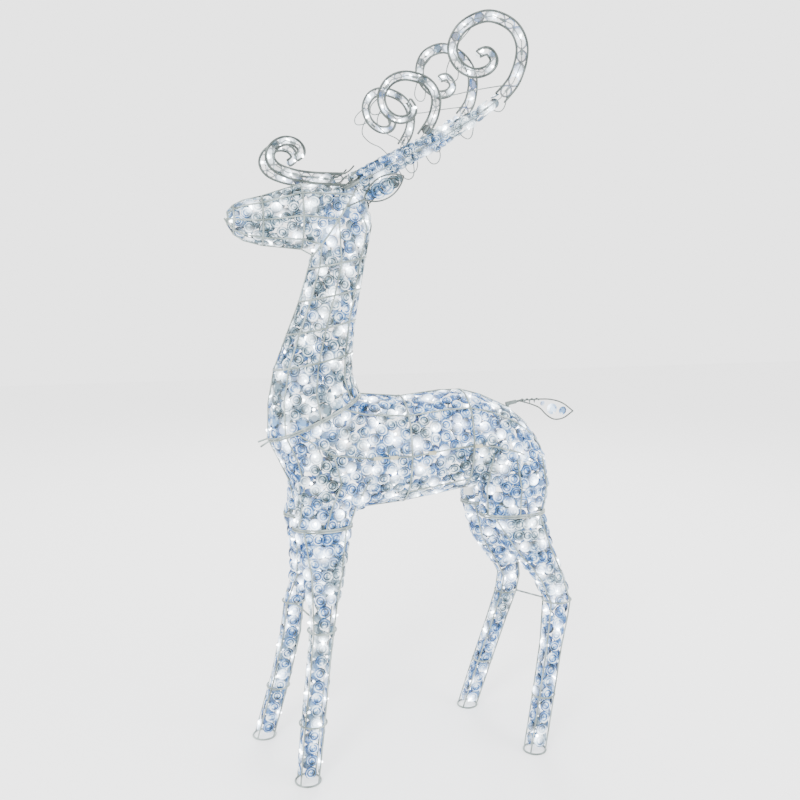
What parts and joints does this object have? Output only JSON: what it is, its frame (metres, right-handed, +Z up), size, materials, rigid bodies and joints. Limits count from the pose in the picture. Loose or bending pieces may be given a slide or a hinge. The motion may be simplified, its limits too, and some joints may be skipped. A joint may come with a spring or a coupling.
{
  "type": "lighted yard reindeer",
  "caption": "Standing wire-frame reindeer clad in clear crystal discs and lit by a cool-white light string, with plug-in neck, legs, antlers and tail.",
  "frame": {"origin": "on the ground, under the middle of the reindeer's bounding box", "axes": "+Z up; the reindeer faces -X; +Y is its right side"},
  "size_m": [0.758, 0.2873, 1.5196],
  "materials": {
    "frame": "satin",
    "fitting": "satin",
    "crystal": "clear",
    "lamp": "clear",
    "string": "clear",
    "connector": "matte",
    "clip": "matte"
  },
  "bodies": {
    "torso": {"torso_frame": "frame", "torso_crystal_left": "crystal", "torso_crystal_right": "crystal", "leg_sleeves": "fitting", "neck_pins": "fitting", "tail_socket": "fitting", "string_sockets": "connector", "torso_light_string": "string", "torso_lamps": "lamp", "string_clips": "clip", "power_inlet": "connector"},
    "neck_head": {"neck_head_frame": "frame", "neck_crystal": "crystal", "head_crystal": "crystal", "left_ear_frame": "frame", "right_ear_frame": "frame", "left_ear_crystal": "crystal", "right_ear_crystal": "crystal", "neck_sleeves": "fitting", "antler_pegs": "fitting", "neck_light_string": "string", "neck_lamps": "lamp"},
    "tail": {"tail_frame": "frame", "tail_crystals": "crystal"},
    "front_legs": {"front_left_leg_frame": "frame", "front_left_leg_crystal": "crystal", "front_left_foot_ring": "frame", "front_right_leg_frame": "frame", "front_right_leg_crystal": "crystal", "front_right_foot_ring": "frame", "front_leg_pins": "fitting", "front_leg_lamps": "lamp", "front_leg_light_strings": "string", "front_leg_brace": "frame"},
    "hind_legs": {"hind_left_leg_frame": "frame", "hind_left_leg_crystal": "crystal", "hind_left_foot_ring": "frame", "hind_right_leg_frame": "frame", "hind_right_leg_crystal": "crystal", "hind_right_foot_ring": "frame", "hind_leg_pins": "fitting", "hind_leg_lamps": "lamp", "hind_leg_light_strings": "string", "hind_leg_brace": "frame"},
    "left_antler": {"left_antler_frame": "frame", "left_antler_beam_crystal": "crystal", "left_antler_end_curl_crystal": "crystal", "left_antler_mid_curl_crystal": "crystal", "left_antler_brow_curl_crystal": "crystal", "left_antler_light_string": "string"},
    "right_antler": {"right_antler_frame": "frame", "right_antler_beam_crystal": "crystal", "right_antler_end_curl_crystal": "crystal", "right_antler_mid_curl_crystal": "crystal", "right_antler_brow_curl_crystal": "crystal", "right_antler_light_string": "string"}
  },
  "joints": [
    {"name": "neck_lift", "type": "slide", "parent": "torso", "child": "neck_head", "axis": [-0.4258, 0, 0.9048], "range_m": [0, 0.08]},
    {"name": "front_legs_pull", "type": "slide", "parent": "torso", "child": "front_legs", "axis": [0, 0, -1], "range_m": [0, 0.08]},
    {"name": "hind_legs_pull", "type": "slide", "parent": "torso", "child": "hind_legs", "axis": [0, 0, -1], "range_m": [0, 0.08]},
    {"name": "left_antler_pull", "type": "slide", "parent": "neck_head", "child": "left_antler", "axis": [0.8497, -0.259, 0.4593], "range_m": [0, 0.06]},
    {"name": "right_antler_pull", "type": "slide", "parent": "neck_head", "child": "right_antler", "axis": [0.8497, 0.259, 0.4593], "range_m": [0, 0.06]},
    {"name": "tail_pull", "type": "slide", "parent": "torso", "child": "tail", "axis": [0.9848, 0, 0.174], "range_m": [0, 0.05]}
  ]
}
